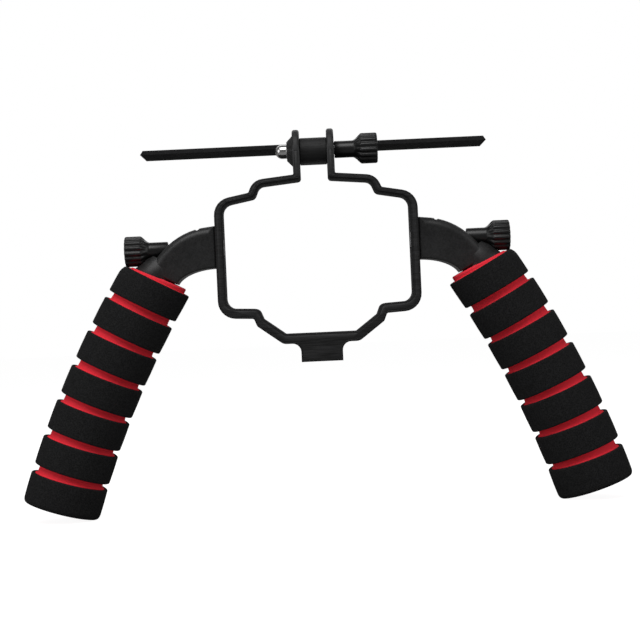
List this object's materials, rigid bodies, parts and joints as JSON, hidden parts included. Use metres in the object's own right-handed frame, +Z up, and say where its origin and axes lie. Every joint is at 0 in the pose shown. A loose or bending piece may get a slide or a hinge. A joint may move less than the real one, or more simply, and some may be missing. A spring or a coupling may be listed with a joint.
{
  "type": "two-handed carrying bracket",
  "caption": "Split hoop that clamps round a small device, with a tilting flat plate on top and a ribbed foam handle angled down on each side, each held by a hand screw.",
  "frame": {"origin": "middle of the flat face under the hoop's foot, in the middle of the hoop's depth", "axes": "+X to the right handle as seen from the front, -Y out of the hoop's front, +Z up to the clamp screw"},
  "size_m": [0.318, 0.0672, 0.1995],
  "materials": {
    "printed_plastic": "matte",
    "moulded_plastic": "satin",
    "knob_plastic": "satin",
    "plate_plastic": "satin",
    "black_foam": "matte",
    "red_foam": "matte",
    "steel": "satin",
    "chrome": "polished"
  },
  "bodies": {
    "frame": {"hoop_frame": "printed_plastic", "acorn_nut": "chrome", "left_side_nut": "steel", "right_side_nut": "steel"},
    "left_handle": {"left_arm": "moulded_plastic", "left_foam_sleeve": "red_foam", "left_band_1": "black_foam", "left_band_2": "black_foam", "left_band_3": "black_foam", "left_band_4": "black_foam", "left_band_5": "black_foam", "left_band_6": "black_foam", "left_band_7": "black_foam"},
    "right_handle": {"right_arm": "moulded_plastic", "right_foam_sleeve": "red_foam", "right_band_1": "black_foam", "right_band_2": "black_foam", "right_band_3": "black_foam", "right_band_4": "black_foam", "right_band_5": "black_foam", "right_band_6": "black_foam", "right_band_7": "black_foam"},
    "plate": {"tilt_plate": "plate_plastic"},
    "clamp_screw": {"clamp_knob": "knob_plastic", "clamp_bolt": "steel"},
    "left_screw": {"left_knob": "knob_plastic", "left_bolt": "steel"},
    "right_screw": {"right_knob": "knob_plastic", "right_bolt": "steel"}
  },
  "joints": [
    {"name": "left_handle_swing", "type": "hinge", "parent": "frame", "child": "left_handle", "pos_m": [-0.0532, 0, 0.0616], "axis": [1, 0, 0], "range_deg": [-75, 75]},
    {"name": "right_handle_swing", "type": "hinge", "parent": "frame", "child": "right_handle", "pos_m": [0.0532, 0, 0.0616], "axis": [1, 0, 0], "range_deg": [-75, 75]},
    {"name": "plate_tilt", "type": "hinge", "parent": "frame", "child": "plate", "pos_m": [0, 0, 0.1104], "axis": [1, 0, 0], "range_deg": [-28, 80]},
    {"name": "clamp_screw_turn", "type": "hinge", "parent": "frame", "child": "clamp_screw", "pos_m": [0.0115, 0, 0.1104], "axis": [1, 0, 0], "continuous": true},
    {"name": "left_screw_turn", "type": "hinge", "parent": "left_handle", "child": "left_screw", "pos_m": [-0.0783, 0, 0.0616], "axis": [1, 0, 0], "continuous": true},
    {"name": "right_screw_turn", "type": "hinge", "parent": "right_handle", "child": "right_screw", "pos_m": [0.0783, 0, 0.0616], "axis": [1, 0, 0], "continuous": true}
  ]
}
